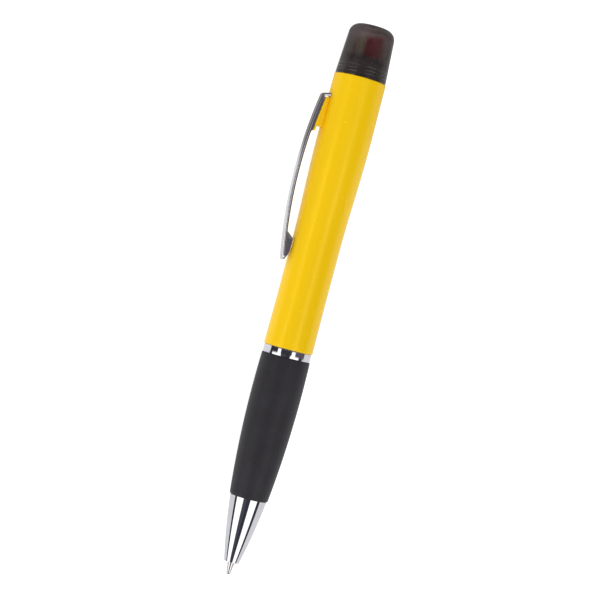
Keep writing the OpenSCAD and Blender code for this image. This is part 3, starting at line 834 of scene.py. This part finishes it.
# Light tent round the pen: where each band begins, in degrees round the pen's axis upwards from the
# camera's direction, and its brightness. One set is for level directions, one for those that lean
# towards the tip, which the nose cone reflects, and one for those that lean towards the cap.
PALE, GREY, WHITE = (0.80, 0.80, 0.82), (0.70, 0.70, 0.73), (1.35, 1.35, 1.35)
DARK, SHADE, BLUE_SHADE = (0.035, 0.035, 0.045), (0.10, 0.09, 0.11), (0.06, 0.065, 0.085)
WARM_SHADE, DULL = (0.18, 0.165, 0.17), (0.30, 0.29, 0.29)
LEVEL_BANDS = [(-214, PALE), (-87.2, DARK), (-45.7, WHITE), (-30.1, DARK), (23.3, WHITE), (38.5, GREY),
               (42, SHADE), (92.3, GREY)]
TIP_BANDS = [(-214, GREY), (-91, DARK), (-73.5, WHITE), (-27.5, BLUE_SHADE), (-3.7, DARK), (18.3, WHITE),
             (62.5, DARK), (83.5, GREY)]
CAP_BANDS = [(-214, DULL), (-87.2, SHADE), (42, WARM_SHADE), (92.3, DULL)]
BAND_BLEND = 1.0         # half of the stretch over which one band turns into the next, in degrees
# How much a direction leans along the pen where such a set starts to show, and where it has taken over
TIP_LEAN, CAP_LEAN = (0.05, 0.13), (-0.07, -0.12)

FLOOR_HALF, FLOOR_GLOW = 3.0, 0.95
LAMP_DISTANCE, LAMP_SIZE = 0.8, 0.9
# Each lamp's angle, up from the horizon on the camera's side, and its power in watts
FRONT_LAMP, BACK_LAMP = (CAMERA_RISE + 10, 3.9), (150, 3.3)


def from_side(degrees):
    """Direction from the pen at an angle above the horizon on the camera's side."""
    a = math.radians(degrees)
    return Vector((0, -math.cos(a), math.sin(a)))


def turn_share(degrees):
    """Where an angle from the camera's direction lies in the tent's full turn, from 0 to 1."""
    return min(max((CAMERA_RISE + degrees + 180) / 360, 0), 1)


def make_floor():
    corners = [(x * FLOOR_HALF, y * FLOOR_HALF, 0) for x, y in ((-1, -1), (1, -1), (1, 1), (-1, 1))]
    floor = mesh_object("floor", corners, [[0, 1, 2, 3]])
    m = Nodes("pale_floor", Roughness=0.85)
    m.colour(m.ramp(m.noise(30, 4, 0.6), [(0.3, (0.30, 0.30, 0.30)), (0.7, (0.34, 0.34, 0.34))]))
    m.shader.inputs["Emission Color"].default_value = (1, 1, 1, 1)
    m.shader.inputs["Emission Strength"].default_value = FLOOR_GLOW
    floor.data.materials.append(m.material)
    floor.visible_glossy = False


def make_lamp(name, degrees, power):
    """A soft panel that lights the pen evenly but doesn't show in its gloss."""
    data = bpy.data.lights.new(name, "AREA")
    data.shape = "SQUARE"
    data.size = LAMP_SIZE
    data.energy = power
    lamp = bpy.data.objects.new(name, data)
    bpy.context.scene.collection.objects.link(lamp)
    toward = from_side(degrees)
    turned = toward.to_track_quat("Z", "Y").to_matrix().to_4x4()
    lamp.matrix_world = Matrix.Translation(MIDDLE + toward * LAMP_DISTANCE) @ turned
    lamp.visible_glossy = False
    lamp.visible_transmission = False


def make_world():
    """The light tent, as the world round the pen."""
    world = bpy.data.worlds.new("light_tent")
    world.use_nodes = True
    bpy.context.scene.world = world
    tree = world.node_tree

    def calculate(operation, first, second):
        node = tree.nodes.new("ShaderNodeMath")
        node.operation = operation
        tree.links.new(first, node.inputs[0])
        if isinstance(second, bpy.types.NodeSocket):
            tree.links.new(second, node.inputs[1])
        else:
            node.inputs[1].default_value = second
        return node.outputs[0]

    def tent(share, bands):
        stops = [bands[0]]
        for (_, before), (degrees, after) in zip(bands, bands[1:]):
            stops += [(degrees - BAND_BLEND, before), (degrees + BAND_BLEND, after)]
        node = tree.nodes.new("ShaderNodeValToRGB")
        fill_ramp(node, [(turn_share(degrees), colour) for degrees, colour in stops])
        tree.links.new(share, node.inputs["Fac"])
        return node.outputs["Color"]

    split = tree.nodes.new("ShaderNodeSeparateXYZ")
    tree.links.new(tree.nodes.new("ShaderNodeTexCoord").outputs["Generated"], split.inputs[0])
    forward = calculate("MULTIPLY", split.outputs["Y"], -1)
    angle = calculate("ARCTAN2", split.outputs["Z"], forward)
    share = calculate("ADD", calculate("DIVIDE", angle, 2 * math.pi), 0.5)
    colour = tent(share, LEVEL_BANDS)
    for bands, (start, full) in ((TIP_BANDS, TIP_LEAN), (CAP_BANDS, CAP_LEAN)):
        lean = tree.nodes.new("ShaderNodeMapRange")
        lean.inputs["From Min"].default_value = start
        lean.inputs["From Max"].default_value = full
        tree.links.new(split.outputs["X"], lean.inputs["Value"])
        colour = mix_colours(tree, lean.outputs["Result"], colour, tent(share, bands))
    tree.links.new(colour, tree.nodes["Background"].inputs["Color"])


def make_camera():
    toward = from_side(CAMERA_RISE)
    to_cap = Vector((-1, 0, 0))
    across = (-toward).cross(to_cap)
    lean = math.radians(PEN_TILT)
    right = to_cap * math.sin(lean) + across * math.cos(lean)
    up = to_cap * math.cos(lean) - across * math.sin(lean)
    target = MIDDLE + right * AIM_RIGHT + up * AIM_UP
    data = bpy.data.cameras.new("camera")
    data.sensor_width = SENSOR
    data.lens = SENSOR * DISTANCE / FIELD
    camera = bpy.data.objects.new("camera", data)
    bpy.context.scene.collection.objects.link(camera)
    turned = Matrix((right, up, toward)).transposed().to_4x4()
    camera.matrix_world = Matrix.Translation(target + toward * DISTANCE) @ turned
    bpy.context.scene.camera = camera


make_floor()
make_world()
make_lamp("front_panel", *FRONT_LAMP)
make_lamp("back_panel", *BACK_LAMP)
make_camera()
bpy.context.scene.view_settings.view_transform = "Standard"
